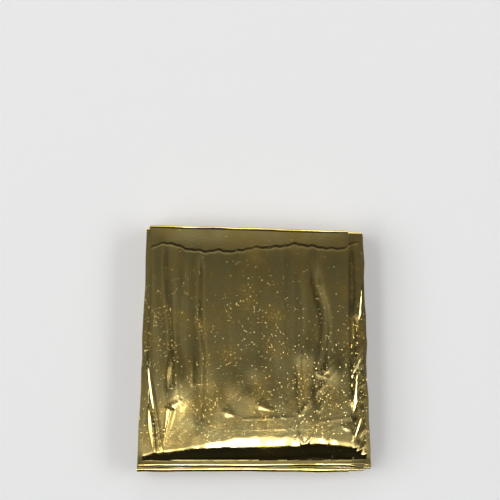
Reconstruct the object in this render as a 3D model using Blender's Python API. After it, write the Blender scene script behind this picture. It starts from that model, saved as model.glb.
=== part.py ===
# Emergency foil blanket, folded into a flat pack.
#
# The real thing is one film, 1.32 m by 2.13 m and about 12 micrometres thick, gold on one face and silver
# on the other. It is doubled over at half its length and pleated sixteen times across its width, which
# makes a strip about 84 mm wide. That strip is folded back and forth into eleven layers, and the top one,
# the flap, stops short of the fold beneath it.
#
# Here the strip is one solid, 1 mm thick: a sheet through the middle of the strip, thickened to both
# sides, which turns round at each fold. X runs along the folds, Y along the layers, Z up.

import math
from collections import namedtuple

import bpy

MM = 0.001

# Driving dimensions

LAYERS = 11
THICKNESS = 1.0 * MM
GAP = 0.3 * MM
CROWN = 1.2 * MM          # the pack's middle stands this much higher than its folds
CROWN_POWER = 5.0         # how flat the middle is before it falls away to the folds
HALF_WIDTH = 46.5 * MM
HALF_LENGTH = 48.5 * MM

# Both ends of the strip and the folds between its layers, from the top one down. left and right are the
# strip's edges there, reach_left and reach_right how far it goes at those edges. All in millimetres.
Fold = namedtuple("Fold", "left right reach_left reach_right")
FOLDS = (
    Fold(left=-40.5, right=42.6, reach_left=40.3, reach_right=40.3),
    Fold(left=-44.0, right=44.6, reach_left=-44.0, reach_right=-44.1),
    Fold(left=-41.1, right=43.0, reach_left=48.4, reach_right=46.0),
    Fold(left=-45.8, right=44.0, reach_left=-46.2, reach_right=-46.1),
    Fold(left=-42.4, right=43.4, reach_left=47.2, reach_right=45.2),
    Fold(left=-44.4, right=46.1, reach_left=-47.1, reach_right=-46.6),
    Fold(left=-41.9, right=42.4, reach_left=46.4, reach_right=46.0),
    Fold(left=-46.4, right=43.2, reach_left=-48.1, reach_right=-48.3),
    Fold(left=-41.7, right=43.2, reach_left=47.6, reach_right=45.6),
    Fold(left=-45.2, right=46.2, reach_left=-47.4, reach_right=-47.8),
    Fold(left=-42.6, right=42.0, reach_left=46.8, reach_right=46.2),
    Fold(left=-45.6, right=44.8, reach_left=-46.6, reach_right=-46.0),
)

# The flap's free end is wavy: each wave carries it outward by rise, or inward where rise is negative.
Wave = namedtuple("Wave", "x rise half_width")
FREE_END_WAVES = (
    Wave(x=-34.0, rise=1.8, half_width=4.5),
    Wave(x=-19.5, rise=-1.5, half_width=7.0),
    Wave(x=-8.0, rise=-1.5, half_width=5.0),
    Wave(x=16.5, rise=1.3, half_width=6.0),
    Wave(x=32.0, rise=-0.6, half_width=4.0),
    Wave(x=41.0, rise=1.9, half_width=3.5),
)

# Soft troughs pressed into the pack from above. Each runs from (x_top, y_top) to (x_bottom, y_bottom) and
# bows sideways by bow at its middle.
Trough = namedtuple("Trough", "x_top y_top x_bottom y_bottom bow depth half_width")
TROUGHS = (
    Trough(x_top=-35.6, y_top=35.0, x_bottom=-35.2, y_bottom=-30.0, bow=0.0, depth=0.45, half_width=2.6),
    Trough(x_top=-21.8, y_top=27.0, x_bottom=-22.2, y_bottom=-20.0, bow=0.3, depth=0.40, half_width=2.6),
    Trough(x_top=25.0, y_top=25.0, x_bottom=24.8, y_bottom=-15.0, bow=3.0, depth=0.45, half_width=2.6),
    Trough(x_top=17.6, y_top=-18.0, x_bottom=17.4, y_bottom=-30.0, bow=0.0, depth=0.30, half_width=2.0),
    Trough(x_top=-38.0, y_top=-33.0, x_bottom=-35.0, y_bottom=-39.0, bow=0.0, depth=0.60, half_width=3.0),
)
TROUGH_END = 5.0          # a trough fades out over this length past each end, in millimetres

# The outer plies stop short of the right side, so the pack is lower beyond this line.
STEP_X = 37.6
STEP_DEPTH = 0.45
STEP_WIDTH = 0.5

# The flap's left edge is drawn in where its lower corner is crumpled.
PINCH_Y = -18.5
PINCH_IN = 1.5
PINCH_HALF_LENGTH = 7.0

# Unevenness of the hidden layers
EDGE_WOBBLE = 0.35
FOLD_WOBBLE = 0.25
WOBBLE_LENGTH = 34.0
GOLDEN_ANGLE = math.radians(137.5)

# Facets of the solid
FLAP_STEPS = 16
FLAP_EASE = 1.5           # more than 1 packs the flap's steps towards its rolled fold
SECOND_LAYER_STEPS = 6
LAYER_STEPS = 4
FOLD_STEPS = 4
WIDEST_STATION = 6.0      # millimetres between two lines of points along X

GOLD = (0.52, 0.42, 0.13, 1.0)
GOLD_ROUGHNESS = 0.18


def mix(a, b, share):
    return a + (b - a) * share


def bump(distance, half_width):
    return math.exp(-((distance / half_width) ** 2))


def edges(layer, f, y):
    """The left and right edges of a layer, f of the way from its upper fold to its lower one."""
    upper = FOLDS[layer - 1]
    lower = FOLDS[layer]
    ripple = math.sin(2 * math.pi * y / WOBBLE_LENGTH + layer * GOLDEN_ANGLE)
    other = math.cos(2 * math.pi * y / WOBBLE_LENGTH + 2 * layer * GOLDEN_ANGLE)
    left = mix(upper.left, lower.left, f)
    right = mix(upper.right, lower.right, f)
    if layer == 1:
        return left + PINCH_IN * bump(y - PINCH_Y, PINCH_HALF_LENGTH), right
    fade = math.sin(math.pi * f)
    return left + EDGE_WOBBLE * fade * ripple, right + EDGE_WOBBLE * fade * other


def reach(fold, s):
    """How far the strip goes at a fold or end, s of the way from its left edge to its right one."""
    row = FOLDS[fold]
    straight = mix(row.reach_left, row.reach_right, s)
    if fold == 0:
        x = mix(row.left, row.right, s)
        return straight + sum(wave.rise * bump(x - wave.x, wave.half_width) for wave in FREE_END_WAVES)
    return straight + FOLD_WOBBLE * math.sin(2 * math.pi * 1.3 * s + fold * GOLDEN_ANGLE)


def trough_depth(trough, x, y):
    along = (trough.y_top - y) / (trough.y_top - trough.y_bottom)
    inside = min(max(along, 0.0), 1.0)
    middle = mix(trough.x_top, trough.x_bottom, inside) + trough.bow * math.sin(math.pi * inside)
    past = max(y - trough.y_top, trough.y_bottom - y, 0.0)
    return trough.depth * bump(x - middle, trough.half_width) * bump(past, TROUGH_END)


def relief(x, y):
    """Height of the pack's top over its folds: the crown, less the troughs and the step."""
    across = min(abs(x) * MM / HALF_WIDTH, 1.0)
    along = min(abs(y) * MM / HALF_LENGTH, 1.0)
    crown = (CROWN / MM) * (1 - across**CROWN_POWER) * (1 - along**CROWN_POWER)
    step = STEP_DEPTH / (1 + math.exp(-(x - STEP_X) / (STEP_WIDTH / 2)))
    fade = 1 - along**CROWN_POWER
    return crown - fade * (step + sum(trough_depth(trough, x, y) for trough in TROUGHS))


def height(layer, x, y):
    """Height of the middle of a layer. The relief dies away towards the flat underside."""
    base = (LAYERS - layer) * (THICKNESS + GAP) / MM + THICKNESS / MM / 2
    return base + relief(x, y) * (LAYERS - layer) / (LAYERS - 1)


def stations():
    """Shares of the width where the section is drawn: on each trough and step, and no gap over WIDEST_STATION."""
    left = FOLDS[0].left
    right = FOLDS[0].right
    places = [left, right, STEP_X - STEP_WIDTH, STEP_X + STEP_WIDTH]
    for trough in TROUGHS[:4]:
        middle = mix(trough.x_top, trough.x_bottom, 0.5) + trough.bow * 0.7
        places += [middle - trough.half_width, middle, middle + trough.half_width]
    places.sort()
    found = [places[0]]
    for place in places[1:]:
        start = found[-1]
        parts = math.ceil((place - start) / WIDEST_STATION)
        for part in range(1, parts + 1):
            found.append(mix(start, place, part / parts))
    return [(place - left) / (right - left) for place in found]


def steps_of(layer):
    if layer == 1:
        return [1 - (1 - step / FLAP_STEPS) ** FLAP_EASE for step in range(FLAP_STEPS + 1)]
    count = SECOND_LAYER_STEPS if layer == 2 else LAYER_STEPS
    return [step / count for step in range(count + 1)]


def layer_points(layer, s):
    """Points along one layer, each with the direction from the strip's middle to its outer face."""
    outer = THICKNESS / MM + GAP / MM / 2
    towards = -1 if layer % 2 else 1
    start = reach(layer - 1, s)
    end = reach(layer, s)
    if layer > 1:
        start += towards * outer
    if layer < LAYERS:
        end -= towards * outer
    side = 1 if layer % 2 else -1
    points = []
    for f in steps_of(layer):
        y = mix(start, end, f)
        left, right = edges(layer, f, y)
        x = mix(left, right, s)
        points.append(((x, y, height(layer, x, y)), (0.0, 0.0, side)))
    return points


def fold_points(layer, last, first, s):
    """Points round the fold after a layer, from its last point to the first one of the next layer."""
    outward = -1 if layer % 2 else 1
    side = 1 if layer % 2 else -1
    row = FOLDS[layer]
    x = mix(row.left, row.right, s)
    y = (last[1] + first[1]) / 2
    z = (last[2] + first[2]) / 2
    radius = (last[2] - first[2]) / 2
    points = []
    for step in range(1, FOLD_STEPS):
        turn = math.pi * step / FOLD_STEPS
        along = outward * math.sin(turn)
        up = math.cos(turn)
        points.append(((x, y + radius * along, z + radius * up), (0.0, side * along, side * up)))
    return points


def strip_line(s):
    """The strip from the flap's free end to the underside's, at one station across its width."""
    layers = [layer_points(layer, s) for layer in range(1, LAYERS + 1)]
    line = []
    for layer, points in enumerate(layers, start=1):
        line += points
        if layer < LAYERS:
            line += fold_points(layer, points[-1][0], layers[layer][0][0], s)
    return line


def thickened(line):
    """Both faces of the strip along a line, in metres."""
    half = THICKNESS / 2
    outer = [tuple(p * MM + half * n for p, n in zip(point, normal)) for point, normal in line]
    inner = [tuple(p * MM - half * n for p, n in zip(point, normal)) for point, normal in line]
    return outer, inner


def strip_mesh(name):
    """One closed mesh: the two faces of the strip, its two long edges and its two ends."""
    lines = [thickened(strip_line(s)) for s in stations()]
    count = len(lines[0][0])
    vertices = []
    for outer, inner in lines:
        vertices += outer + inner

    def at(station, face, step):
        return (station * 2 + face) * count + step

    last = len(lines) - 1
    faces = []
    for step in range(count - 1):
        for station in range(last):
            faces.append((at(station, 0, step), at(station, 0, step + 1),
                          at(station + 1, 0, step + 1), at(station + 1, 0, step)))
            faces.append((at(station, 1, step), at(station + 1, 1, step),
                          at(station + 1, 1, step + 1), at(station, 1, step + 1)))
        faces.append((at(0, 0, step), at(0, 1, step), at(0, 1, step + 1), at(0, 0, step + 1)))
        faces.append((at(last, 0, step), at(last, 0, step + 1), at(last, 1, step + 1), at(last, 1, step)))
    for station in range(last):
        faces.append((at(station, 0, 0), at(station + 1, 0, 0), at(station + 1, 1, 0), at(station, 1, 0)))
        faces.append((at(station, 0, count - 1), at(station, 1, count - 1),
                      at(station + 1, 1, count - 1), at(station + 1, 0, count - 1)))
    mesh = bpy.data.meshes.new(name)
    mesh.from_pydata(vertices, [], faces)
    mesh.validate()
    return mesh


def centre_on_base(mesh):
    """Moves the mesh so that the origin is at the middle of its base."""
    lows = [min(vertex.co[axis] for vertex in mesh.vertices) for axis in range(3)]
    highs = [max(vertex.co[axis] for vertex in mesh.vertices) for axis in range(3)]
    for vertex in mesh.vertices:
        vertex.co.x -= (lows[0] + highs[0]) / 2
        vertex.co.y -= (lows[1] + highs[1]) / 2
        vertex.co.z -= lows[2]


def gold_film():
    material = bpy.data.materials.new("gold_film")
    material.use_nodes = True
    shader = material.node_tree.nodes["Principled BSDF"]
    shader.inputs["Base Color"].default_value = GOLD
    shader.inputs["Metallic"].default_value = 1.0
    shader.inputs["Roughness"].default_value = GOLD_ROUGHNESS
    return material


def folded_blanket():
    mesh = strip_mesh("folded_blanket")
    centre_on_base(mesh)
    mesh.materials.append(gold_film())
    mesh.shade_smooth()
    mesh.set_sharp_from_angle(angle=math.radians(40))
    blanket = bpy.data.objects.new("folded_blanket", mesh)
    bpy.context.scene.collection.objects.link(blanket)
    return blanket


def main():
    for old in list(bpy.data.objects):
        bpy.data.objects.remove(old)
    folded_blanket()


main()
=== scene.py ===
# %% [markdown]
# # A foil rescue blanket, folded into its pack
#
# The real blanket is one sheet of very thin plastic film, gold on one face and silver on the other. It is
# folded so many times that the pack is a few hundred films thick. This lesson folds that whole sheet, at its
# real size, as one mesh. It then gives the film a mirror-like finish and lights it so that the folds read.

# %% Load the frame
import math
from collections import namedtuple

import bpy
import numpy as np
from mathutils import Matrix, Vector


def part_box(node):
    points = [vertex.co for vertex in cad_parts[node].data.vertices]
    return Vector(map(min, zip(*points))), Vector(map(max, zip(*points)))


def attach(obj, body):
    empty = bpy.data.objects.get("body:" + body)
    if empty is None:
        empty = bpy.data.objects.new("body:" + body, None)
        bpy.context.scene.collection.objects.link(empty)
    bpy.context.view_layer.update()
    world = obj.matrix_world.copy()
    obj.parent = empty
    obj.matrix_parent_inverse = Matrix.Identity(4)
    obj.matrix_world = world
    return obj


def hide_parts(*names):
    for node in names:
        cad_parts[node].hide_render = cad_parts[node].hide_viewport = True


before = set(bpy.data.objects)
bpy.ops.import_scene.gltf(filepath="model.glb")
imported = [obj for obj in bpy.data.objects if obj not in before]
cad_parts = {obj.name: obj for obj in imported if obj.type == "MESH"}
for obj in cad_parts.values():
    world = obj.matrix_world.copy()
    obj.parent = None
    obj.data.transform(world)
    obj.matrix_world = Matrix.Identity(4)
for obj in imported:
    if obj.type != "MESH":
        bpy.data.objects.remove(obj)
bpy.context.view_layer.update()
pack_low, pack_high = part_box("folded_blanket")
print("packed solid, mm:", [round(v * 1000, 1) for v in (pack_high - pack_low)])

# %% [markdown]
# ## The fold plan
#
# Across its width the sheet is first folded in half, gold outside, and that double sheet is pleated eight
# times, so a strip is sixteen films thick. The strip is then doubled over at half its length and folded back
# and forth into eleven layers of thirty-two films. One could model a block and paint lines on it, but then
# every edge would be a fake. Folding the real sheet gives true edges from every side.
#
# Sizes below are in millimetres, and the fold table has a row for each end or fold of the strip, from the
# flap on top down to the underside.

# %% Sizes of the sheet and the fold plan
MM = 0.001
LAYERS = 11
PLEATS = 8
FILMS_IN_HALF = 2 * PLEATS
THICKNESS = 1.0
GAP = 0.3
PITCH = THICKNESS + GAP
STACK = LAYERS * THICKNESS + (LAYERS - 1) * GAP

Fold = namedtuple("Fold", "left right reach_left reach_right")
FOLDS = (
    Fold(left=-40.5, right=42.6, reach_left=40.3, reach_right=40.3),
    Fold(left=-44.0, right=44.6, reach_left=-44.4, reach_right=-44.5),
    Fold(left=-41.1, right=43.0, reach_left=48.4, reach_right=46.0),
    Fold(left=-45.8, right=44.4, reach_left=-47.0, reach_right=-46.8),
    Fold(left=-42.4, right=43.4, reach_left=47.2, reach_right=45.2),
    Fold(left=-44.4, right=46.4, reach_left=-47.7, reach_right=-47.4),
    Fold(left=-41.9, right=42.4, reach_left=46.4, reach_right=46.0),
    Fold(left=-46.5, right=43.8, reach_left=-49.2, reach_right=-49.4),
    Fold(left=-41.7, right=43.2, reach_left=47.6, reach_right=45.6),
    Fold(left=-45.2, right=46.8, reach_left=-48.6, reach_right=-48.9),
    Fold(left=-42.6, right=42.0, reach_left=46.8, reach_right=46.2),
    Fold(left=-45.6, right=44.8, reach_left=-48.0, reach_right=-47.6),
)
print("films in the pack:", 2 * FILMS_IN_HALF * LAYERS)

# %% [markdown]
# ## Small helpers
#
# All the shapes here are sums of a few soft bumps and waves, worked out with numpy for thousands of points
# at once. A bump is a bell curve, a ramp goes smoothly from 0 to 1, and facets give the flat, sharp-edged
# patches that crumpled foil has: heights at the corners of a bent grid, joined by flat triangles.

# %% Bumps, ramps and facets


def mix(a, b, share):
    return a + (b - a) * share


def bump(distance, half_width):
    return np.exp(-((distance / half_width) ** 2))


def ramp(value, start, end):
    share = np.clip((value - start) / (end - start), 0.0, 1.0)
    return share * share * (3 - 2 * share)


def corner_height(i, j, seed):
    value = np.sin(i * 127.1 + j * 311.7 + seed * 74.7) * 43758.5453
    return 2 * (value - np.floor(value)) - 1


def facets(x, y, size, seed, bend=0.35):
    """Heights from -1 to 1 of flat triangles about size across, on a grid bent by waves."""
    across = x / size + bend * np.sin(y / size * 1.7 + seed) + bend * np.sin(y / size * 0.6 + 2 * seed)
    along = y / size + bend * np.sin(x / size * 1.9 + 3 * seed) + bend * np.sin(x / size * 0.7 + seed)
    i = np.floor(across)
    j = np.floor(along)
    u = across - i
    v = along - j
    near = corner_height(i, j, seed)
    far = corner_height(i + 1, j + 1, seed)
    side = corner_height(i + 1, j, seed)
    other = corner_height(i, j + 1, seed)
    lower = near + (side - near) * u + (far - side) * v
    upper = near + (far - other) * u + (other - near) * v
    return np.where(u > v, lower, upper)


# %% [markdown]
# ## The pack's relief
#
# The pack is not flat: its middle stands higher than its folds, it has soft troughs down its face, and it
# drops a little at the right, where the outermost plies stop short. The same heights shape every film, less
# and less towards the underside, which lies flat.

# %% Crown, troughs and step
CROWN = 1.2
CROWN_POWER = 5.0
HALF_WIDTH = 46.5
HALF_LENGTH = 48.5

Trough = namedtuple("Trough", "x_top y_top x_bottom y_bottom bow depth half_width")
TROUGHS = (
    Trough(x_top=-36.4, y_top=35.0, x_bottom=-34.8, y_bottom=-12.0, bow=1.0, depth=0.23, half_width=2.2),
    Trough(x_top=-22.6, y_top=27.0, x_bottom=-21.0, y_bottom=-24.0, bow=0.3, depth=0.26, half_width=1.9),
    Trough(x_top=24.2, y_top=25.0, x_bottom=24.4, y_bottom=-15.0, bow=3.4, depth=0.32, half_width=2.0),
    Trough(x_top=17.6, y_top=-14.0, x_bottom=17.4, y_bottom=-28.0, bow=0.0, depth=0.22, half_width=1.6),
    Trough(x_top=18.2, y_top=20.0, x_bottom=17.8, y_bottom=-8.0, bow=0.4, depth=0.09, half_width=1.3),
    Trough(x_top=-28.0, y_top=26.0, x_bottom=-28.6, y_bottom=2.0, bow=-0.4, depth=0.10, half_width=1.5),
    Trough(x_top=-10.0, y_top=14.0, x_bottom=-11.5, y_bottom=-22.0, bow=0.6, depth=0.07, half_width=1.6),
    Trough(x_top=-38.0, y_top=-33.0, x_bottom=-35.0, y_bottom=-39.0, bow=0.0, depth=0.10, half_width=3.0),
)
TROUGH_END = 9.0
MEANDER = 0.5             # a trough wanders this far to each side of its line
STEP_TOP_X = 37.0
STEP_BOTTOM_X = 38.4
STEP_TOP_Y = 40.0
STEP_LENGTH = 80.0
STEP_DEPTH = 0.45
STEP_WIDTH = 2.4


def trough_depth(trough, x, y):
    along = (trough.y_top - y) / (trough.y_top - trough.y_bottom)
    inside = np.clip(along, 0.0, 1.0)
    middle = mix(trough.x_top, trough.x_bottom, inside) + trough.bow * np.sin(np.pi * inside)
    middle = middle + MEANDER * np.sin(y * 0.16 + trough.x_top)
    past = np.maximum(np.maximum(y - trough.y_top, trough.y_bottom - y), 0.0)
    return trough.depth * bump(x - middle, trough.half_width) * bump(past, TROUGH_END)


def step_line(y):
    return mix(STEP_TOP_X, STEP_BOTTOM_X, np.clip((STEP_TOP_Y - y) / STEP_LENGTH, 0.0, 1.0))


def relief(x, y):
    across = np.minimum(np.abs(x) / HALF_WIDTH, 1.0)
    along = np.minimum(np.abs(y) / HALF_LENGTH, 1.0)
    fade = 1 - along**CROWN_POWER
    step = STEP_DEPTH / (1 + np.exp(-(x - step_line(y) - STEP_WIDTH / 2) / (STEP_WIDTH / 4)))
    troughs = sum(trough_depth(trough, x, y) for trough in TROUGHS)
    return CROWN * (1 - across**CROWN_POWER) * fade - fade * (step + troughs)


print("soft troughs:", len(TROUGHS))

# %% [markdown]
# ## The face of the flap
#
# A mirror shows every slope. A slope of two degrees turns the reflection by four, so tiny heights matter
# here. The flap leans a little towards its rolled fold, then more in a narrow band, and then it rolls over.
# The band mirrors a soft light and the roll a dark flag, which gives a bright line above a black one. The
# roll starts further down at both corners, so its place is given at a few stations across the pack.

# %% Lean and roll of the flap
Station = namedtuple("Station", "x roll_top band")
ROLL_STATIONS = (
    Station(x=-44.0, roll_top=-42.0, band=0.0),
    Station(x=-40.5, roll_top=-41.1, band=0.0),
    Station(x=-32.2, roll_top=-39.8, band=0.05),
    Station(x=-24.4, roll_top=-39.1, band=0.6),
    Station(x=-5.5, roll_top=-38.7, band=3.8),
    Station(x=15.7, roll_top=-38.1, band=3.6),
    Station(x=25.9, roll_top=-37.0, band=2.0),
    Station(x=38.5, roll_top=-38.3, band=1.6),
    Station(x=44.8, roll_top=-41.1, band=0.5),
)
LEAN_START = -5.0
LEAN_RATE = 0.00015
BAND_SLOPE_START = 0.015
BAND_SLOPE_END = 0.058
ROLL_RATE = 0.09
ROLL_END = -44.05
LEDGE_START = -42.4       # the layers below the flap flatten out here, still hidden under it
LEDGE_HEIGHT = 11.0       # up to this height a layer rolls only as far as the ledge's start
ROLL_HEIGHT = 13.6        # and from this height on it rolls to the roll's end
NARROWEST_BAND = 0.01
TAIL_RISE = 0.10          # past the roll, the ends of the layers below rise again this steeply


def lean(x, y, z):
    """How far the flap, and the layers under it, drop towards the rolled fold."""
    station_x, station_top, station_band = zip(*ROLL_STATIONS)
    roll_top = np.interp(x, station_x, station_top)
    band = np.maximum(np.interp(x, station_x, station_band), NARROWEST_BAND)
    below = roll_top - y
    in_band = np.clip(below + band, 0.0, band)
    roll_end = mix(LEDGE_START, ROLL_END, ramp(z, LEDGE_HEIGHT, ROLL_HEIGHT))
    in_roll = np.clip(below, 0.0, roll_top - roll_end)
    tail = TAIL_RISE * np.maximum(roll_end - y, 0.0)
    gentle = LEAN_RATE * np.maximum(LEAN_START - y, 0.0) ** 2
    band_drop = BAND_SLOPE_START * in_band + (BAND_SLOPE_END - BAND_SLOPE_START) * in_band**2 / (2 * band)
    return gentle + band_drop + BAND_SLOPE_END * in_roll + ROLL_RATE / 2 * in_roll**2 - tail


# %% [markdown]
# ## Creases of the flap
#
# Foil stays flat between its creases, so a crease is a ridge with two flat sides. Its height goes evenly
# from one end to the other, and the slope of each side stays the same, which makes long pointed kites. Past
# its ends it falls off as steeply as its cap says. The slope decides whether a side mirrors a light or the
# dark.

# %% Creases
Ridge = namedtuple("Ridge", "x_start y_start x_end y_end start end low high cap", defaults=(0.07,))
RIDGES = (
    # Left edge, and the two branches that meet in a V above the rolled fold.
    Ridge(x_start=-41.6, y_start=-4.0, x_end=-39.6, y_end=-19.0, start=0.08, end=0.22, low=0.17, high=0.26),
    Ridge(x_start=-39.6, y_start=-19.0, x_end=-36.3, y_end=-39.0, start=0.22, end=0.16, low=0.18, high=0.26),
    Ridge(x_start=-41.4, y_start=-20.5, x_end=-39.5, y_end=-31.0, start=0.02, end=0.38, low=0.165, high=0.6),
    Ridge(x_start=-39.5, y_start=-31.0, x_end=-38.9, y_end=-41.0, start=0.38, end=0.16, low=0.165, high=0.6),
    Ridge(
        x_start=-32.6, y_start=-24.0, x_end=-36.1, y_end=-39.5,
        start=0.40, end=0.08, low=0.20, high=0.24, cap=0.30,
    ),
    Ridge(
        x_start=-33.6, y_start=-23.0, x_end=-28.7, y_end=-20.4,
        start=0.16, end=0.05, low=0.075, high=0.14,
    ),
    Ridge(x_start=-31.0, y_start=-14.5, x_end=-29.0, y_end=-24.0, start=0.10, end=0.05, low=0.09, high=0.07),
    # Light upright ridges on both sides of the middle.
    Ridge(x_start=-24.0, y_start=4.0, x_end=-24.5, y_end=-14.0, start=0.0, end=0.10, low=0.215, high=0.07),
    Ridge(x_start=31.0, y_start=11.0, x_end=31.5, y_end=-1.0, start=0.0, end=0.08, low=0.24, high=0.07),
    # Slanting creases that run from the right edge down to the left.
    Ridge(x_start=43.6, y_start=7.3, x_end=26.7, y_end=-11.6, start=0.05, end=0.06, low=0.07, high=0.12),
    Ridge(x_start=38.5, y_start=-1.4, x_end=19.3, y_end=-24.2, start=0.05, end=0.08, low=0.06, high=0.11),
    Ridge(x_start=41.0, y_start=3.6, x_end=29.8, y_end=-9.5, start=0.03, end=0.05, low=0.05, high=0.12),
    Ridge(x_start=26.0, y_start=-10.0, x_end=31.2, y_end=-12.4, start=0.20, end=0.0, low=0.105, high=0.16),
    Ridge(x_start=32.5, y_start=-4.0, x_end=28.0, y_end=-9.5, start=0.05, end=0.20, low=0.08, high=0.20),
    Ridge(x_start=40.6, y_start=-8.5, x_end=39.4, y_end=-21.0, start=0.08, end=0.30, low=0.12, high=0.28),
    Ridge(x_start=43.4, y_start=1.0, x_end=40.2, y_end=-6.5, start=0.10, end=0.34, low=0.30, high=0.26),
    Ridge(x_start=42.4, y_start=25.0, x_end=41.2, y_end=13.0, start=0.05, end=0.26, low=0.10, high=0.28),
    Ridge(x_start=43.0, y_start=-24.0, x_end=40.0, y_end=-33.0, start=0.08, end=0.30, low=0.22, high=0.28),
    Ridge(x_start=29.9, y_start=-16.3, x_end=25.6, y_end=-24.5, start=0.03, end=0.12, low=0.07, high=0.12),
    Ridge(x_start=21.5, y_start=-21.0, x_end=18.0, y_end=-26.0, start=0.03, end=0.11, low=0.07, high=0.12),
    Ridge(x_start=2.2, y_start=-22.6, x_end=8.6, y_end=-25.0, start=0.12, end=0.0, low=0.075, high=0.03),
    Ridge(x_start=-11.2, y_start=-25.2, x_end=-6.6, y_end=-26.8, start=0.12, end=0.0, low=0.06, high=0.03),
    Ridge(x_start=32.4, y_start=-30.0, x_end=37.2, y_end=-31.8, start=0.0, end=0.09, low=0.07, high=0.03),
    # Two long level creases above the rolled fold.
    Ridge(x_start=-4.2, y_start=-27.9, x_end=15.5, y_end=-27.3, start=0.035, end=0.03, low=0.065, high=0.03),
    Ridge(x_start=25.8, y_start=-29.0, x_end=38.4, y_end=-27.3, start=0.03, end=0.035, low=0.065, high=0.03),
    Ridge(x_start=-5.5, y_start=-32.0, x_end=25.0, y_end=-31.6, start=0.015, end=0.02, low=0.05, high=0.02),
    # Broken folds in the bright band, right of the middle.
    Ridge(x_start=17.0, y_start=-32.5, x_end=19.0, y_end=-37.8, start=0.03, end=0.12, low=0.14, high=0.10),
    Ridge(x_start=23.5, y_start=-34.0, x_end=20.5, y_end=-37.6, start=0.04, end=0.10, low=0.10, high=0.14),
    Ridge(x_start=30.5, y_start=-31.0, x_end=28.6, y_end=-37.8, start=0.03, end=0.10, low=0.14, high=0.10),
)

# Soft swellings between the creases, and hollows where the height is below 0.
Mound = namedtuple("Mound", "x y height across along")
MOUNDS = (
    Mound(x=-30.5, y=-12.5, height=0.46, across=5.2, along=9.0),
    Mound(x=-8.5, y=-14.0, height=0.15, across=4.0, along=6.0),
    Mound(x=0.5, y=-8.0, height=0.11, across=4.0, along=5.0),
    Mound(x=-13.0, y=-22.0, height=0.14, across=2.6, along=6.0),
    Mound(x=-2.0, y=-19.0, height=0.12, across=3.0, along=4.0),
    Mound(x=20.5, y=-2.0, height=0.20, across=4.0, along=5.0),
    Mound(x=31.5, y=-8.0, height=0.26, across=3.5, along=5.0),
    Mound(x=-24.5, y=-7.0, height=0.12, across=1.8, along=6.0),
    Mound(x=-18.5, y=-20.0, height=-0.16, across=3.0, along=9.0),
    Mound(x=9.0, y=-8.0, height=-0.14, across=4.0, along=12.0),
    Mound(x=-30.5, y=-34.0, height=-0.45, across=7.0, along=12.0),
)


def ridge_height(ridge, x, y):
    run_x = ridge.x_end - ridge.x_start
    run_y = ridge.y_end - ridge.y_start
    length = math.hypot(run_x, run_y)
    along = ((x - ridge.x_start) * run_x + (y - ridge.y_start) * run_y) / length
    away = ((y - ridge.y_start) * run_x - (x - ridge.x_start) * run_y) / length
    past = np.maximum(np.maximum(-along, along - length), 0.0)
    crest = mix(ridge.start, ridge.end, np.clip(along / length, 0.0, 1.0))
    slope = np.where(away > 0, ridge.high, ridge.low)
    return np.maximum(crest - slope * np.abs(away) - ridge.cap * past, 0.0)


def mound_height(mound, x, y):
    return mound.height * bump(x - mound.x, mound.across) * bump(y - mound.y, mound.along)


# Waves across the face, whose crests run up and down it and bend a little to each side.
Ripple = namedtuple("Ripple", "height rate bend bend_rate bend_start start")
RIPPLES = (
    Ripple(height=0.018, rate=0.62, bend=0.5, bend_rate=0.07, bend_start=0.0, start=1.0),
    Ripple(height=0.010, rate=1.21, bend=0.9, bend_rate=0.06, bend_start=1.3, start=0.0),
    Ripple(height=0.0025, rate=3.3, bend=0.4, bend_rate=0.11, bend_start=0.0, start=0.0),
)
SOFT_WAVE = 0.014
STRIP_CRUMPLE = 0.16      # height of the crumpled patches on the strips at the right
FAR_STRIP_SHARE = 0.12    # share of it that is left at the strips' far end
LOWER_CRUMPLE = 0.016
LEAST_CRUMPLE = 0.003
LARGE_PATCH = 4.2
SMALL_PATCH = 1.9
STRIP_FADE = (0.2, 1.0)   # right of the step the strips' crumple grows from here to here
FAR_FADE = (-14.0, 10.0)  # and downwards, as -y, from its far share to all of it
LOWER_FADE = (8.0, 26.0)  # the lower half crumples from here to here, as -y


def ripple_height(ripple, x, y):
    bent = ripple.bend * np.sin(y * ripple.bend_rate + ripple.bend_start)
    return ripple.height * np.sin(x * ripple.rate + bent + ripple.start)


def face_detail(x, y):
    """Fine relief of the flap's face."""
    upright = sum(ripple_height(ripple, x, y) for ripple in RIPPLES)
    soft = SOFT_WAVE * np.sin(x * 0.23 + y * 0.11 + 0.4) * np.cos(y * 0.17 - x * 0.05)
    soft = soft + sum(mound_height(mound, x, y) for mound in MOUNDS)
    right_strip = ramp(x - step_line(y), *STRIP_FADE)
    along_strip = mix(FAR_STRIP_SHARE, 1.0, ramp(-y, *FAR_FADE))
    lower = ramp(-y, *LOWER_FADE)
    crumple = STRIP_CRUMPLE * right_strip * along_strip + LOWER_CRUMPLE * lower + LEAST_CRUMPLE
    patches = facets(x, y, LARGE_PATCH, 3.0) + 0.5 * facets(x, y, SMALL_PATCH, 8.0)
    creases = np.maximum.reduce([ridge_height(ridge, x, y) for ridge in RIDGES])
    return upright * (1 - right_strip) + soft + crumple * patches + creases


print("creases:", len(RIDGES), "swellings and hollows:", len(MOUNDS))


# %% [markdown]
# ## Plan the columns
#
# The blanket starts as a flat grid. Each column of its points runs the whole length of the sheet and belongs
# to one film of one pleat. It knows its share of the way across the strip, from 0 at the left edge to 1 at
# the right, and how deep it lies in its half of the strip. The outermost pleats stop a little short at the
# right, so that two narrow strips of the films under them show. Films that show get more columns.

# %% Columns across the sheet
OUTER_COLUMNS = 29
STRIP_COLUMNS = 5
PLEAT_ENDS = (0.93, 0.972, 0.972, 1.0, 1.0, 1.0, 1.0, 1.0)
OUTER_LOOSE = 0.10        # the outermost film stands this far off the others

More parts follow.
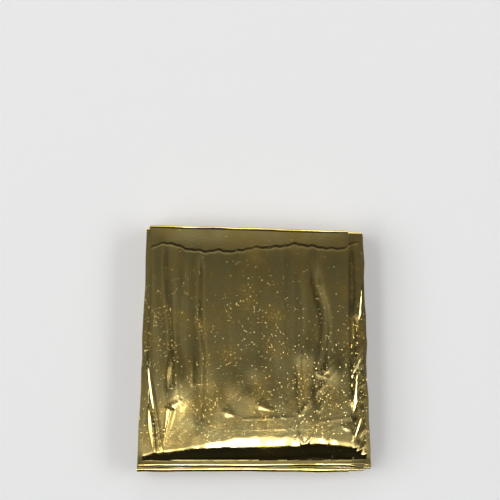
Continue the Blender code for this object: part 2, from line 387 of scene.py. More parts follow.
Film = namedtuple("Film", "pleat depth shares")
Strip = namedtuple("Strip", "depth start")
STRIPS = (
    Strip(depth=2, start=PLEAT_ENDS[0]),
    Strip(depth=6, start=PLEAT_ENDS[1]),
)
HIDDEN_SHARES = (0.0, 0.05, 0.22, 0.78)    # a hidden film's first columns
LAST_STEP = 0.05          # the next lies this far inside its end, or before a strip begins to show
STRIP_OVERLAP = 0.015     # a strip's close columns begin this far under the pleat that covers it
STRIP_EDGE = 0.02         # and from this far under it the strip counts as showing


def film_shares(pleat, depth):
    """Places of a film's columns, from the strip's left edge at 0 to its right edge at 1."""
    end = PLEAT_ENDS[pleat]
    if depth == 0:
        return np.linspace(0.0, end, OUTER_COLUMNS)
    for strip in STRIPS:
        if depth == strip.depth:
            hidden = [*HIDDEN_SHARES, strip.start - LAST_STEP]
            return np.concatenate([hidden, np.linspace(strip.start - STRIP_OVERLAP, end, STRIP_COLUMNS)])
    return np.array([*HIDDEN_SHARES, end - LAST_STEP, end])


def strip_films():
    """The films in the order in which the sheet runs through them, from one raw edge to the other."""
    fronts = []
    backs = []
    for pleat in range(PLEATS):
        turned = pleat % 2
        front_depth = 2 * pleat + (1 if turned else 0)
        back_depth = 2 * pleat + (0 if turned else 1)
        front = film_shares(pleat, front_depth)
        back = film_shares(pleat, back_depth)
        fronts.append(Film(pleat, front_depth, front[::-1] if turned else front))
        backs.append(Film(pleat, back_depth, back if turned else back[::-1]))
    return fronts[::-1] + backs


films = strip_films()
column_share = np.concatenate([film.shares for film in films])
column_depth = np.concatenate([np.full(len(film.shares), film.depth) for film in films])
column_pleat = np.concatenate([np.full(len(film.shares), film.pleat) for film in films])
print("columns:", len(column_share))

# %% [markdown]
# ## Plan the rows
#
# Each row of points crosses the sheet at one place along it. A row is on the straight part of a layer, at a
# share of the way along it, or on the fold that ends the layer, at an angle of its turn. The rows walk down
# the eleven layers, round the place where the sheet was doubled over, and back up on the other side.

# %% Rows along the sheet
FLAP_ROWS = 31
LAYER_ROWS = 12
FOLD_ROWS = 6
END_CROWDING = 0.3        # rows lie this share closer at the flap's two ends
NEAR_ROLL = (0.0, 0.018, 0.036, 0.07)    # shares of the other layers' rows that lie under the roll
BAND_ROWS = 6             # rows of layer 2 in the band that shows behind the flap
BAND_START = 0.88
BEFORE_BAND = 0.84

Row = namedtuple("Row", "layer half share turn doubled")


def layer_shares(layer, half):
    if layer == 1 and half == 1:
        even = np.linspace(0.0, 1.0, FLAP_ROWS)
        return even - END_CROWDING / (2 * np.pi) * np.sin(2 * np.pi * even)
    if layer == 2:
        covered = np.linspace(0.0, BEFORE_BAND, LAYER_ROWS - BAND_ROWS + 1)
        return np.concatenate([covered, np.linspace(BAND_START, 1.0, BAND_ROWS)])
    beyond_roll = np.linspace(NEAR_ROLL[-1], 1.0, LAYER_ROWS - len(NEAR_ROLL) + 1)[1:]
    from_roll = np.concatenate([NEAR_ROLL, beyond_roll])
    return 1 - from_roll[::-1] if layer % 2 else from_roll


def turned_rows(layer, half, doubled):
    turns = [math.pi * step / FOLD_ROWS for step in range(1, FOLD_ROWS)]
    return [Row(layer, half, 1.0, turn, doubled) for turn in turns]


def half_rows(half):
    rows = []
    for layer in range(1, LAYERS + 1):
        rows += [Row(layer, half, share, 0.0, False) for share in layer_shares(layer, half)]
        if layer < LAYERS:
            rows += turned_rows(layer, half, False)
    return rows


rows = half_rows(1) + turned_rows(LAYERS, 1, True) + half_rows(-1)[::-1]
row_layer, row_half, row_share, row_turn, row_doubled = (np.array(values) for values in zip(*rows))
print("rows:", len(rows))

# %% [markdown]
# ## Lay out the flat sheet
#
# A grid is added with a face between every two rows and columns. Where the film shows in the finished pack,
# those faces are selected and subdivided, so that the small creases have points to bend at. Subdividing
# before folding is easy, because the sheet is still flat and its faces are found by counting.

# %% Flat grid, finer where it shows
SHOWN_CUTS = 5
QUARTER_TURN = math.pi / 2


def flat_grid(name):
    bpy.ops.object.select_all(action="DESELECT")
    across = len(column_share) - 1
    along = len(rows) - 1
    bpy.ops.mesh.primitive_grid_add(x_subdivisions=across, y_subdivisions=along, size=2.0)
    sheet = bpy.context.active_object
    sheet.name = name
    sheet.data.name = name
    return sheet


def grid_places(places):
    """The column and row of places on the flat grid, as numbers that may lie between two columns."""
    places = places.reshape(-1, 3)
    column = (places[:, 0] + 1) / 2 * (len(column_share) - 1)
    row = (places[:, 1] + 1) / 2 * (len(rows) - 1)
    return np.round(column, 3), np.round(row, 3)


def shown_faces(mesh):
    """True for faces that show: the flap and its roll, the strips beside it and the fold behind it."""
    middles = np.empty(3 * len(mesh.polygons), np.float32)
    mesh.polygons.foreach_get("center", middles)
    column, row = (np.floor(places).astype(int) for places in grid_places(middles))
    depth = np.where(column_depth[column] == column_depth[column + 1], column_depth[column], -1)
    share = np.minimum(column_share[column], column_share[column + 1])
    strips = sum((depth == strip.depth) & (share > strip.start - STRIP_EDGE) for strip in STRIPS) > 0
    flap = (row_layer[row] == 1) & (row_layer[row + 1] == 1) & (row_half[row] == 1)
    flap &= row_turn[row + 1] < QUARTER_TURN + 0.1
    band = (row_layer[row] == 2) & (row_half[row] == -1) & (row_turn[row] == 0)
    band &= row_share[row] >= BAND_START
    return ((depth == 0) & (flap | band)) | (strips & flap)


blanket = flat_grid("foil_blanket")
blanket_mesh = blanket.data
bpy.ops.object.mode_set(mode="EDIT")
bpy.ops.mesh.select_mode(type="FACE")
bpy.ops.mesh.select_all(action="DESELECT")
bpy.ops.object.mode_set(mode="OBJECT")
blanket_mesh.polygons.foreach_set("select", shown_faces(blanket_mesh))
bpy.ops.object.mode_set(mode="EDIT")
bpy.ops.mesh.subdivide(number_cuts=SHOWN_CUTS)
bpy.ops.object.mode_set(mode="OBJECT")
print("points in the flat sheet:", len(blanket_mesh.vertices))

# %% [markdown]
# ## Fold it
#
# Every point is now moved from the flat grid to its place in the pack. Its row says which layer it is in and
# how far along, its column how far across and how deep. Folded this way, the films lie inside one another
# as they do in the real pack. A cloth simulation of so many films lying on each other would take far longer.

# %% Where the strip's edges and folds are
PLEAT_JITTER = 0.9
END_SLANT = 0.4           # the flap's lowest film ends this much before its top one
HIDDEN_END = 37.9         # the flap's hidden films end here, clear of the wavy end of the outer one
CURL_LENGTH = 1.6
CURL_RATE = 0.085
EDGE_WOBBLE = 0.35
FOLD_WOBBLE = 0.10
FLAT_TURN = 1.0746        # a pressed fold stays flat for its first and last step
HIDDEN_TUCK = 0.25        # at a fold the hidden films stay this far inside the outermost one
STRIP_WIDTH = 84.0
CRINKLE = 0.15            # half the height of the flat patches along a crinkled fold
CRINKLE_SIZE = 3.4
FOLD_RIPPLE = 0.09
FOLD_WAVES = 1.3          # waves of a fold's line across the strip
END_RIPPLE = 0.22
SMALL_END_RIPPLE = 0.16
WOBBLE_LENGTH = 34.0
GOLDEN_ANGLE = math.radians(137.5)
OUTER_RADIUS = THICKNESS + GAP / 2
PINCH_Y = -18.5
PINCH_IN = 1.5
PINCH_HALF_LENGTH = 7.0

Wave = namedtuple("Wave", "x rise half_width")
FREE_END_WAVES = (
    Wave(x=-34.0, rise=1.8, half_width=4.5),
    Wave(x=-19.5, rise=-1.5, half_width=7.0),
    Wave(x=-8.0, rise=-1.5, half_width=5.0),
    Wave(x=16.5, rise=1.3, half_width=6.0),
    Wave(x=32.0, rise=-0.6, half_width=4.0),
    Wave(x=41.0, rise=1.9, half_width=3.5),
)
fold_left, fold_right, fold_reach_left, fold_reach_right = (np.array(values) for values in zip(*FOLDS))


def reach(fold, share):
    straight = mix(fold_reach_left[fold], fold_reach_right[fold], share)
    x = mix(fold_left[0], fold_right[0], share)
    waves = sum(wave.rise * bump(x - wave.x, wave.half_width) for wave in FREE_END_WAVES)
    waves = waves + END_RIPPLE * np.sin(x * 0.83 + 1.0) + SMALL_END_RIPPLE * np.sin(x * 1.7)
    wobble = FOLD_WOBBLE * np.sin(2 * np.pi * FOLD_WAVES * share + fold * GOLDEN_ANGLE)
    return straight + np.where(fold == 0, waves, wobble)


def strip_edges(layer, f, y):
    left = mix(fold_left[layer - 1], fold_left[layer], f)
    right = mix(fold_right[layer - 1], fold_right[layer], f)
    fade = np.sin(np.pi * f)
    turn = 2 * np.pi * y / WOBBLE_LENGTH
    pinch = PINCH_IN * bump(y - PINCH_Y, PINCH_HALF_LENGTH)
    left_wobble = np.where(layer == 1, pinch, EDGE_WOBBLE * fade * np.sin(turn + layer * GOLDEN_ANGLE))
    right_wobble = np.where(layer == 1, 0.0, EDGE_WOBBLE * fade * np.cos(turn + 2 * layer * GOLDEN_ANGLE))
    return left + left_wobble, right + right_wobble


# %% Heights of the films
CLEARANCE = 0.7           # hidden films sink this far under the flap's face
BAND_CLEARANCE = 0.25     # and this far at the right end of the band behind the flap
UNDER_ROLL_CLEARANCE = 0.5    # and this far on the ledge that shows in front of the roll
FLAP_SINKS = (-38.5, -36.0)   # the sinking grows from here to here under the flap, as -y
BAND_SINKS = (36.0, 39.0)     # behind the flap, as x
ROLL_SINKS = (38.0, 42.0)     # and towards the roll, as -y
LEAN_FROM = 5.0               # layers below this height don't lean
UNEVEN = 0.22
UNEVEN_LENGTH = 7.0
UNEVEN_RISE = (0.0, 4.0)      # heights between which the unevenness of the sides grows
UNEVEN_FALL = (10.0, 13.0)    # and between which it fades out again
DETAIL_DEPTH = 0.4            # the face's detail is whole this far down from the top, and then fades
DETAIL_FADE = 0.5

Place = namedtuple("Place", "share depth pleat layer half f turn doubled")


def film_height(depth):
    """Height of a film over the middle of the strip, outermost first."""
    inner = (THICKNESS / 2 - OUTER_LOOSE) * (1 - (depth - 1) / (FILMS_IN_HALF - 1.5))
    return np.where(depth == 0, THICKNESS / 2, inner)


def edge_inset(place, y, right):
    """How far a film's edge sits inside the strip's edge. Films that are folded together stay together."""
    pair = (place.pleat + right) // 2
    phase = pair * 2.4 + place.layer * 1.7 + right * 3.1
    uneven = 0.5 + 0.3 * np.sin(y * (0.21 + 0.04 * (pair % 3)) + phase)
    uneven = uneven + 0.2 * np.sin(y * 0.57 + 2.3 * phase)
    inner = np.isin((place.depth + 2 * right) % 4, (1, 2)) & (place.depth > 0)
    return np.where(pair > 0, PLEAT_JITTER * uneven, 0.0) + inner * HIDDEN_TUCK


def lowness(place):
    """0 for the top film of a layer, 1 for its bottom film."""
    towards = np.where(place.layer % 2, -1, 1)
    return 0.5 + towards * place.half * film_height(place.depth) / THICKNESS


def outermost(place):
    """1 where nothing of the strip covers a film, which is where it may show, otherwise 0."""
    strips = 0
    for strip in STRIPS:
        uncovered = ramp(place.share, strip.start - LAST_STEP, strip.start - STRIP_EDGE)
        strips = strips + (place.depth == strip.depth) * uncovered
    return (place.depth == 0) + strips


def shown(place):
    """1 where a film of the flap shows from above or is about to, otherwise 0."""
    return ((place.layer == 1) & (place.half == 1)) * outermost(place)


def sink(place, x, y):
    """Hidden films have few points, so they keep clear of the films that show."""
    flap = ramp(-y, *FLAP_SINKS) * (place.layer == 1) * (1 - shown(place))
    hidden_edge = (place.layer == 2) & (place.depth > STRIPS[0].depth) & (place.depth != STRIPS[1].depth)
    band = BAND_CLEARANCE * hidden_edge * ramp(x, *BAND_SINKS)
    under_roll = UNDER_ROLL_CLEARANCE * ramp(-y, *ROLL_SINKS) * (place.layer == 3) * (1 - outermost(place))
    return (CLEARANCE * flap + band + under_roll) * (1 - lowness(place)) * (1 + np.cos(place.turn)) / 2


def shape(place, x, y, z):
    """Gives flat-stacked points the pack's relief and the flap's detail."""
    height = relief(x, y) * z / STACK - lean(x, y, z) * ramp(z, LEAN_FROM, STACK)
    turn = 2 * np.pi * z / UNEVEN_LENGTH
    waves = np.sin(turn + y * 0.06 + np.sin(y * 0.13)) + x / HALF_WIDTH * np.sin(turn + y * 0.09 + 2.0)
    uneven = UNEVEN / 2 * waves * ramp(z, *UNEVEN_RISE) * (1 - ramp(z, *UNEVEN_FALL))
    below_face = np.maximum(STACK - DETAIL_DEPTH - z, 0.0)
    detail = face_detail(x, y) * shown(place) * np.exp(-below_face / DETAIL_FADE)
    return z + height + uneven + detail - sink(place, x, y)


# %% Folding every point
def grid_place(column, row):
    """What the nearest column and row say about points of the grid."""
    near_column = np.rint(column).astype(int)
    near_row = np.rint(row).astype(int)
    return Place(
        share=np.interp(column, np.arange(len(column_share)), column_share),
        depth=column_depth[near_column],
        pleat=column_pleat[near_column],
        layer=row_layer[near_row],
        half=row_half[near_row],
        f=np.interp(row, np.arange(len(rows)), row_share),
        turn=np.interp(row, np.arange(len(rows)), row_turn),
        doubled=row_doubled[near_row],
    )


def folded(place):
    """Places in the pack, in millimetres."""
    towards = np.where(place.layer % 2, -1, 1)
    over = -towards * place.half * film_height(place.depth)
    start = reach(place.layer - 1, place.share)
    start = np.where((place.layer == 1) & (shown(place) < 1), HIDDEN_END, start)
    start = start + np.where(place.layer > 1, towards * OUTER_RADIUS, -END_SLANT * lowness(place))
    end = reach(place.layer, place.share)
    end = end - np.where(place.layer < LAYERS, towards * OUTER_RADIUS, 0.0)
    middle = (LAYERS - place.layer) * PITCH + THICKNESS / 2

    straight_y = mix(start, end, place.f)
    curl = CURL_RATE * np.maximum(straight_y - start + CURL_LENGTH, 0.0) ** 2
    straight_z = middle + over - np.where(place.layer == 1, curl * (1 - lowness(place)), 0.0)

    along_fold = place.share * STRIP_WIDTH
    crinkle = CRINKLE * (1 + facets(along_fold, place.turn * 3.0 + place.layer * 9.0, CRINKLE_SIZE, 5.0))
    ripple = FOLD_RIPPLE * (1 + np.sin(along_fold * 0.35 + place.layer * 2.1 + place.turn))
    crinkle = crinkle + ripple * np.sin(place.turn)
    radius = np.where(place.doubled, film_height(place.depth), PITCH / 2 + over)
    bulge = radius + np.where(place.depth == 0, crinkle, -np.minimum(HIDDEN_TUCK, radius / 2))
    outward = np.sqrt(np.sin(place.turn))
    upward = np.sign(np.cos(place.turn)) * np.minimum(FLAT_TURN * np.sqrt(np.abs(np.cos(place.turn))), 1.0)
    turned_y = end + towards * bulge * outward
    turned_z = middle - np.where(place.doubled, 0.0, PITCH / 2) + radius * upward

    turning = place.turn > 0
    y = np.where(turning, turned_y, straight_y)
    z = np.where(turning, turned_z, straight_z)
    left, right = strip_edges(place.layer, place.f, y)
    x = mix(left + edge_inset(place, y, 0), right - edge_inset(place, y, 1), place.share)
    return np.stack([x, y, shape(place, x, y, z)], axis=1)


flat_points = np.empty(3 * len(blanket_mesh.vertices), np.float32)
blanket_mesh.vertices.foreach_get("co", flat_points)
point_column, point_row = grid_places(flat_points)
points = folded(grid_place(point_column, point_row))
blanket_mesh.vertices.foreach_set("co", (points * MM).astype(np.float32).ravel())
blanket_mesh.update()
print("folded, mm:", points.min(axis=0).round(1), points.max(axis=0).round(1))

# %% [markdown]
# ## A map for baking, and smooth shading
#
# A map unfolds a surface onto a square picture. The grid is a ready-made map, but nearly all of the film is
# hidden, so the rows and columns that show are given most of the picture.

# %% Map and shading
SHOWN_SHARE = 0.62
SHARP_FROM = math.radians(60)


def map_places(is_shown):
    both = is_shown[:-1] & is_shown[1:]
    weight = np.where(both, SHOWN_SHARE / both.sum(), (1 - SHOWN_SHARE) / (~both).sum())
    return np.concatenate([[0.0], np.cumsum(weight)])


def lay_out_map(mesh):
    across = map_places(column_depth == 0)
    along = map_places((row_layer == 1) & (row_half == 1) & (row_turn == 0))
    u = np.interp(point_column, np.arange(len(across)), across)
    v = np.interp(point_row, np.arange(len(along)), along)
    corners = np.empty(len(mesh.loops), np.int32)
    mesh.loops.foreach_get("vertex_index", corners)
    for old in list(mesh.uv_layers):
        mesh.uv_layers.remove(old)
    layer = mesh.uv_layers.new(name="OFBake")
    layer.data.foreach_set("uv", np.stack([u[corners], v[corners]], axis=1).astype(np.float32).ravel())


lay_out_map(blanket_mesh)
top = max(blanket_mesh.polygons, key=lambda face: face.center.z)
if top.normal.z < 0:
    blanket_mesh.flip_normals()
blanket_mesh.shade_smooth()
blanket_mesh.set_sharp_from_angle(angle=SHARP_FROM)
print("triangles:", sum(len(face.vertices) - 2 for face in blanket_mesh.polygons))

# %% [markdown]
# ## The film's finish
#
# The film is a mirror: metal on plastic, so it is fully metallic with a low roughness. What makes it look
# like foil is the relief under the reflection, and the way it goes from clear to slightly hazy. Handled foil
# also glints in tiny specks, so the normal leans over at the middle of each cell of a fine pattern. The
# specks are smaller towards the far end and on the roll. The back of the film is plain silver, and
# Geometry's Backfacing picks it where the film is seen from that side.

# %% Film material
GOLD = (0.87, 0.71, 0.28, 1.0)
GOLD_DEEP = (0.80, 0.59, 0.19, 1.0)
SILVER = (0.82, 0.83, 0.84, 1.0)
HAZE_SCALE = 90.0
CLEAR_ROUGHNESS = 0.06
HAZY_ROUGHNESS = 0.17
GRAIN_SCALE = 1500.0
GRAIN_HEIGHT = 0.00006
CLOUD_SCALE = 40.0
SPECK_SCALE = 1300.0
SPECK_SMALL = 0.14        # a speck's radius, in cells of its pattern
SPECK_LARGE = 0.27
SPECK_TILT = 0.9          # how far a speck's middle may lean out of the film, as a slope
SPECK_STEEPNESS = 2.5     # a speck has its full lean from 1 / 2.5 of the way in from its rim
FAR_Y = (0.008, 0.038)    # between these places, in metres, the specks shrink towards the far end
FAR_SPECKS = 0.35
ROLL_Y = (-0.040, -0.036)     # and between these ones towards the roll
ROLL_SPECKS = 0.25


def noise(nodes, links, place, scale, detail):
    texture = nodes.new("ShaderNodeTexNoise")
    texture.inputs["Scale"].default_value = scale
    texture.inputs["Detail"].default_value = detail
    links.new(place.outputs["Object"], texture.inputs["Vector"])
    return texture


def value_range(nodes, links, source, low, high, start, end):
    """Turns values from low to high into values from start to end."""
    span = nodes.new("ShaderNodeMapRange")
    span.inputs["From Min"].default_value = low
    span.inputs["From Max"].default_value = high
    span.inputs["To Min"].default_value = start
    span.inputs["To Max"].default_value = end
    links.new(source, span.inputs["Value"])
    return span


def bump_node(nodes, links, height, strength, distance):
    raised = nodes.new("ShaderNodeBump")
    raised.inputs["Strength"].default_value = strength
    raised.inputs["Distance"].default_value = distance
    links.new(height, raised.inputs["Height"])
    return raised


def maths(nodes, links, operation, first, second):
    node = nodes.new("ShaderNodeMath")
    node.operation = operation
    for socket, value in zip(node.inputs, (first, second)):
        if isinstance(value, float):
            socket.default_value = value
        else:
            links.new(value, socket)
    return node.outputs["Value"]


def vector_maths(nodes, links, operation, *values):
    node = nodes.new("ShaderNodeVectorMath")
    node.operation = operation
    for socket, value in zip(node.inputs, values):
        if isinstance(value, tuple):
            socket.default_value = value
        else:
            links.new(value, socket)
    return node.outputs["Vector"]


def film_material():
    material = bpy.data.materials.new("gold_film")
    material.use_nodes = True
    tree = material.node_tree
    nodes = tree.nodes
    links = tree.links
    shader = nodes["Principled BSDF"]
    shader.inputs["Metallic"].default_value = 1.0
    place = nodes.new("ShaderNodeTexCoord")

    haze = noise(nodes, links, place, HAZE_SCALE, 4.0)
    hazy = haze.outputs["Fac"]
    roughness = value_range(nodes, links, hazy, 0.35, 0.7, CLEAR_ROUGHNESS, HAZY_ROUGHNESS)
    links.new(roughness.outputs["Result"], shader.inputs["Roughness"])

    gold = nodes.new("ShaderNodeMix")
    gold.data_type = "RGBA"
    gold.inputs["A"].default_value = GOLD
    gold.inputs["B"].default_value = GOLD_DEEP
    depth_of_gold = value_range(nodes, links, hazy, 0.38, 0.62, 0.0, 1.0)
    links.new(depth_of_gold.outputs["Result"], gold.inputs["Factor"])
    side = nodes.new("ShaderNodeMix")
    side.data_type = "RGBA"
    side.inputs["B"].default_value = SILVER
    geometry = nodes.new("ShaderNodeNewGeometry")
    links.new(geometry.outputs["Backfacing"], side.inputs["Factor"])
    links.new(gold.outputs["Result"], side.inputs["A"])
    links.new(side.outputs["Result"], shader.inputs["Base Color"])

    grain = noise(nodes, links, place, GRAIN_SCALE, 3.0)
    fine = bump_node(nodes, links, grain.outputs["Fac"], 0.25, GRAIN_HEIGHT)
    grit = nodes.new("ShaderNodeTexVoronoi")
    grit.inputs["Scale"].default_value = SPECK_SCALE
    links.new(place.outputs["Object"], grit.inputs["Vector"])
    cloud = noise(nodes, links, place, CLOUD_SCALE, 2.0)
    size = value_range(nodes, links, cloud.outputs["Fac"], 0.35, 0.65, SPECK_SMALL, SPECK_LARGE)
    split = nodes.new("ShaderNodeSeparateXYZ")
    links.new(place.outputs["Object"], split.inputs["Vector"])
    further = value_range(nodes, links, split.outputs["Y"], *FAR_Y, 1.0, FAR_SPECKS)
    on_roll = value_range(nodes, links, split.outputs["Y"], *ROLL_Y, ROLL_SPECKS, 1.0)
    smaller = maths(nodes, links, "MULTIPLY", further.outputs["Result"], on_roll.outputs["Result"])
    speck_size = maths(nodes, links, "MULTIPLY", size.outputs["Result"], smaller)
    steepest = SPECK_STEEPNESS * SPECK_TILT
    specks = value_range(nodes, links, grit.outputs["Distance"], SPECK_LARGE, 0.0, 0.0, steepest)
    links.new(speck_size, specks.inputs["From Min"])
    flake = maths(nodes, links, "MINIMUM", specks.outputs["Result"], SPECK_TILT)
    lean_way = vector_maths(nodes, links, "SUBTRACT", grit.outputs["Color"], (0.5, 0.5, 0.5))
    tilt = vector_maths(nodes, links, "MULTIPLY", lean_way, flake)
    tilted = vector_maths(nodes, links, "ADD", fine.outputs["Normal"], tilt)
    facing = vector_maths(nodes, links, "NORMALIZE", tilted)
    links.new(facing, shader.inputs["Normal"])
    return material


blanket_mesh.materials.append(film_material())
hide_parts("folded_blanket")
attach(blanket, "root")

# %% [markdown]
# ## Floor, light and camera
#
# A mirror is lit by what it reflects. The face of the pack looks straight back at the camera, so the sky
# right above is kept dark. Towards the rolled fold there is a narrow soft light and beyond it a dark flag,
# which ends a little above the horizon. A long soft light is at each side, and it is lighter again low down.
# What the camera itself sees behind the pack is a plain pale backdrop.

# %% Floor
FLOOR_SIZE = 60.0
FLOOR_GREY = (0.42, 0.42, 0.42, 1.0)
FLOOR_GLOW = 0.15         # keeps the far floor as pale as the backdrop


def pale_floor():
    bpy.ops.mesh.primitive_plane_add(size=FLOOR_SIZE, location=(0.0, 0.0, 0.0))
    floor = bpy.context.active_object
    floor.name = "floor"
    material = bpy.data.materials.new("pale_floor")
    material.use_nodes = True
    shader = material.node_tree.nodes["Principled BSDF"]
    shader.inputs["Base Color"].default_value = FLOOR_GREY
    shader.inputs["Roughness"].default_value = 0.9
    shader.inputs["Specular IOR Level"].default_value = 0.1
    shader.inputs["Emission Color"].default_value = (1.0, 1.0, 1.0, 1.0)
    shader.inputs["Emission Strength"].default_value = FLOOR_GLOW
    floor.data.materials.append(material)
    return floor


pale_floor()


# %% Soft light all round, dark overhead
SKY_PEAK = 8.0            # brightness that full white on a ramp stands for
SKY_REACH = 0.8
LOW_SKY_END = 0.45        # the sky by height holds up to here, and the one overhead from HIGH_SKY_START on
HIGH_SKY_START = 0.60
BACKDROP = 0.74           # what the camera sees behind the pack is plain and pale

Tone = namedtuple("Tone", "at value")
# Brightness by height, from the horizon at 0 to straight up at 1. It holds below about 30 degrees.
SKY_BY_HEIGHT = (
    Tone(at=0.0, value=0.50),
    Tone(at=0.06, value=0.36),
    Tone(at=0.14, value=0.45),
    Tone(at=0.24, value=0.24),
    Tone(at=0.34, value=0.20),
    Tone(at=0.44, value=0.13),
    Tone(at=0.52, value=0.20),
    Tone(at=0.60, value=0.08),
)
# Brightness overhead, from the rolled fold's side (-0.8) to the far side (0.8).
OVERHEAD = (
    Tone(at=-0.80, value=0.30),
    Tone(at=-0.37, value=0.16),
    Tone(at=-0.33, value=0.25),
    Tone(at=-0.212, value=0.60),
    Tone(at=-0.190, value=0.47),
    Tone(at=-0.150, value=0.37),
    Tone(at=-0.120, value=0.32),
    Tone(at=-0.100, value=0.27),
    Tone(at=-0.080, value=0.20),
    Tone(at=-0.060, value=0.145),
    Tone(at=-0.030, value=0.12),
    Tone(at=0.0, value=0.11),
    Tone(at=0.03, value=0.10),
    Tone(at=0.07, value=0.085),
    Tone(at=0.10, value=0.11),
    Tone(at=0.14, value=0.22),
    Tone(at=0.24, value=0.24),
    Tone(at=0.31, value=0.10),
    Tone(at=0.36, value=0.03),
    Tone(at=0.80, value=0.03),
)
# How much brighter or darker it is towards the left (-0.8) and the right (0.8).
SIDEWAYS = (
    Tone(at=-0.80, value=0.4),
    Tone(at=-0.32, value=0.35),
    Tone(at=-0.24, value=0.6),
    Tone(at=-0.18, value=0.9),
    Tone(at=-0.12, value=1.35),
    Tone(at=-0.07, value=1.0),
    Tone(at=0.0, value=0.98),
    Tone(at=0.04, value=0.95),
    Tone(at=0.07, value=0.78),
    Tone(at=0.12, value=0.95),
    Tone(at=0.18, value=0.85),
    Tone(at=0.24, value=0.7),
    Tone(at=0.32, value=0.35),
    Tone(at=0.80, value=0.4),
)
# The soft light above the rolled fold, a narrow card that is brightest in its middle.
CARD_BY_DEPTH = (
    Tone(at=-0.80, value=0.0),
    Tone(at=-0.33, value=0.0),
    Tone(at=-0.322, value=7.0),
    Tone(at=-0.222, value=7.0),
    Tone(at=-0.212, value=0.0),
)
CARD_SIDES = (
    Tone(at=-0.80, value=0.08),
    Tone(at=-0.06, value=0.10),
    Tone(at=-0.04, value=1.0),
    Tone(at=0.04, value=1.0),
    Tone(at=0.06, value=0.13),
    Tone(at=0.80, value=0.08),
)
# A dark flag on the rolled fold's side, which keeps the roll black.
FLAG_BY_DEPTH = (
    Tone(at=-1.0, value=0.06),
    Tone(at=-0.37, value=0.06),
    Tone(at=-0.33, value=1.0),
)
FLAG_SIDES = (
    Tone(at=-0.45, value=1.0),
    Tone(at=-0.35, value=0.0),
    Tone(at=0.35, value=0.0),
    Tone(at=0.45, value=1.0),
)
FLAG_FOOT = (
    Tone(at=0.10, value=1.0),
    Tone(at=0.20, value=0.0),
)
# One long soft light at the left and one at the right.
SIDE_LIGHTS = (
    Tone(at=-0.80, value=0.0),
    Tone(at=-0.64, value=0.0),
    Tone(at=-0.60, value=5.5),
    Tone(at=-0.44, value=5.5),
    Tone(at=-0.41, value=0.0),
    Tone(at=0.64, value=0.0),
    Tone(at=0.67, value=4.5),
    Tone(at=0.76, value=4.5),
    Tone(at=0.80, value=0.0),
)


def tone_ramp(nodes, links, source, tones, low, high):
    """A ramp of tones over the values of source from low to high."""
    span = value_range(nodes, links, source, low, high, 0.0, 1.0)
    ramp_node = nodes.new("ShaderNodeValToRGB")
    links.new(span.outputs["Result"], ramp_node.inputs["Fac"])
    elements = ramp_node.color_ramp.elements
    elements.remove(elements[1])
    for index, tone in enumerate(tones):
        place = (tone.at - low) / (high - low)
        element = elements[0] if index == 0 else elements.new(place)
        element.position = place
        level = tone.value / SKY_PEAK
        element.color = (level, level, level, 1.0)
    return ramp_node.outputs["Color"]


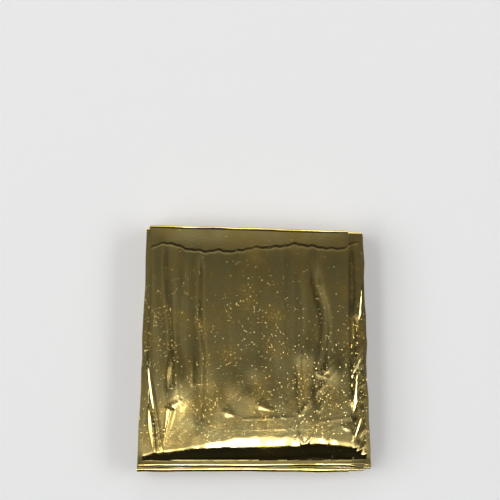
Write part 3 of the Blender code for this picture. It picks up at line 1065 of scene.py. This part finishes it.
def sky():
    world = bpy.data.worlds.new("studio")
    bpy.context.scene.world = world
    world.use_nodes = True
    tree = world.node_tree
    nodes = tree.nodes
    links = tree.links
    place = nodes.new("ShaderNodeTexCoord")
    split = nodes.new("ShaderNodeSeparateXYZ")
    links.new(place.outputs["Generated"], split.inputs["Vector"])
    low_sky = tone_ramp(nodes, links, split.outputs["Z"], SKY_BY_HEIGHT, 0.0, 1.0)
    overhead = tone_ramp(nodes, links, split.outputs["Y"], OVERHEAD, -SKY_REACH, SKY_REACH)
    sideways = tone_ramp(nodes, links, split.outputs["X"], SIDEWAYS, -SKY_REACH, SKY_REACH)
    window = tone_ramp(nodes, links, split.outputs["X"], SIDE_LIGHTS, -SKY_REACH, SKY_REACH)
    shaded = maths(nodes, links, "MULTIPLY", overhead, maths(nodes, links, "MULTIPLY", sideways, SKY_PEAK))
    card_depth = tone_ramp(nodes, links, split.outputs["Y"], CARD_BY_DEPTH, -SKY_REACH, SKY_REACH)
    card_sides = tone_ramp(nodes, links, split.outputs["X"], CARD_SIDES, -SKY_REACH, SKY_REACH)
    card = maths(nodes, links, "MULTIPLY", card_depth, maths(nodes, links, "MULTIPLY", card_sides, SKY_PEAK))
    high_sky = maths(nodes, links, "ADD", maths(nodes, links, "ADD", shaded, card), window)
    near_top = value_range(nodes, links, split.outputs["Z"], LOW_SKY_END, HIGH_SKY_START, 0.0, 1.0)
    flag_depth = tone_ramp(nodes, links, split.outputs["Y"], FLAG_BY_DEPTH, -1.0, 1.0)
    flag_sides = tone_ramp(nodes, links, split.outputs["X"], FLAG_SIDES, -1.0, 1.0)
    flag_foot = tone_ramp(nodes, links, split.outputs["Z"], FLAG_FOOT, 0.0, 1.0)
    beside_flag = maths(nodes, links, "MAXIMUM", flag_sides, flag_foot)
    flag = maths(nodes, links, "MULTIPLY", maths(nodes, links, "MAXIMUM", flag_depth, beside_flag), SKY_PEAK)
    both = nodes.new("ShaderNodeMix")
    both.data_type = "FLOAT"
    links.new(near_top.outputs["Result"], both.inputs["Factor"])
    links.new(low_sky, both.inputs["A"])
    links.new(high_sky, both.inputs["B"])
    background = nodes["Background"]
    background.inputs["Color"].default_value = (1.0, 1.0, 1.0, 1.0)
    flagged = maths(nodes, links, "MULTIPLY", both.outputs["Result"], flag)
    mirrored = maths(nodes, links, "MULTIPLY", flagged, SKY_PEAK)
    seen = nodes.new("ShaderNodeMix")
    seen.data_type = "FLOAT"
    seen.inputs["B"].default_value = BACKDROP
    light_path = nodes.new("ShaderNodeLightPath")
    links.new(light_path.outputs["Is Camera Ray"], seen.inputs["Factor"])
    links.new(mirrored, seen.inputs["A"])
    links.new(seen.outputs["Result"], background.inputs["Strength"])


def soft_light(name, place, size, power):
    light = bpy.data.lights.new(name, "AREA")
    light.shape = "RECTANGLE"
    light.size = size[0]
    light.size_y = size[1]
    light.energy = power
    lamp = bpy.data.objects.new(name, light)
    lamp.location = place
    lamp.rotation_euler = (-Vector(place)).to_track_quat("-Z", "Y").to_euler()
    bpy.context.scene.collection.objects.link(lamp)
    lamp.visible_camera = False
    return lamp


sky()
soft_light("left_light", (-1.3, 0.1, 0.9), (1.2, 0.6), 16.0)
soft_light("right_light", (1.3, 0.2, 1.0), (1.2, 0.6), 14.0)
soft_light("back_light", (0.1, 1.4, 1.0), (1.5, 0.5), 7.0)
print("lamps:", len(bpy.data.lights))

# %% [markdown]
# ## Camera
#
# The photo looks straight down on the pack. Its scale and the pack's place in it set the lens and where the
# camera hangs, so that the render can be laid over the photo.

# %% Camera
PHOTO_MM_PER_PX = 0.393
PACK_CENTRE_PX = (254.0, 348.5)
FRAME_PX = 500.0
CAMERA_DISTANCE = 0.9
SENSOR_WIDTH = 36.0


def camera():
    data = bpy.data.cameras.new("camera")
    data.sensor_width = SENSOR_WIDTH
    frame_width = FRAME_PX * PHOTO_MM_PER_PX * MM
    data.lens = SENSOR_WIDTH * CAMERA_DISTANCE / frame_width
    data.clip_end = 100.0
    seen = bpy.data.objects.new("camera", data)
    x = (FRAME_PX / 2 - PACK_CENTRE_PX[0]) * PHOTO_MM_PER_PX * MM
    y = (PACK_CENTRE_PX[1] - FRAME_PX / 2) * PHOTO_MM_PER_PX * MM
    seen.location = (x, y, pack_high.z + CAMERA_DISTANCE)
    bpy.context.scene.collection.objects.link(seen)
    bpy.context.scene.camera = seen


camera()
bpy.context.scene.view_settings.view_transform = "Standard"
print("lens, mm:", round(bpy.context.scene.camera.data.lens))
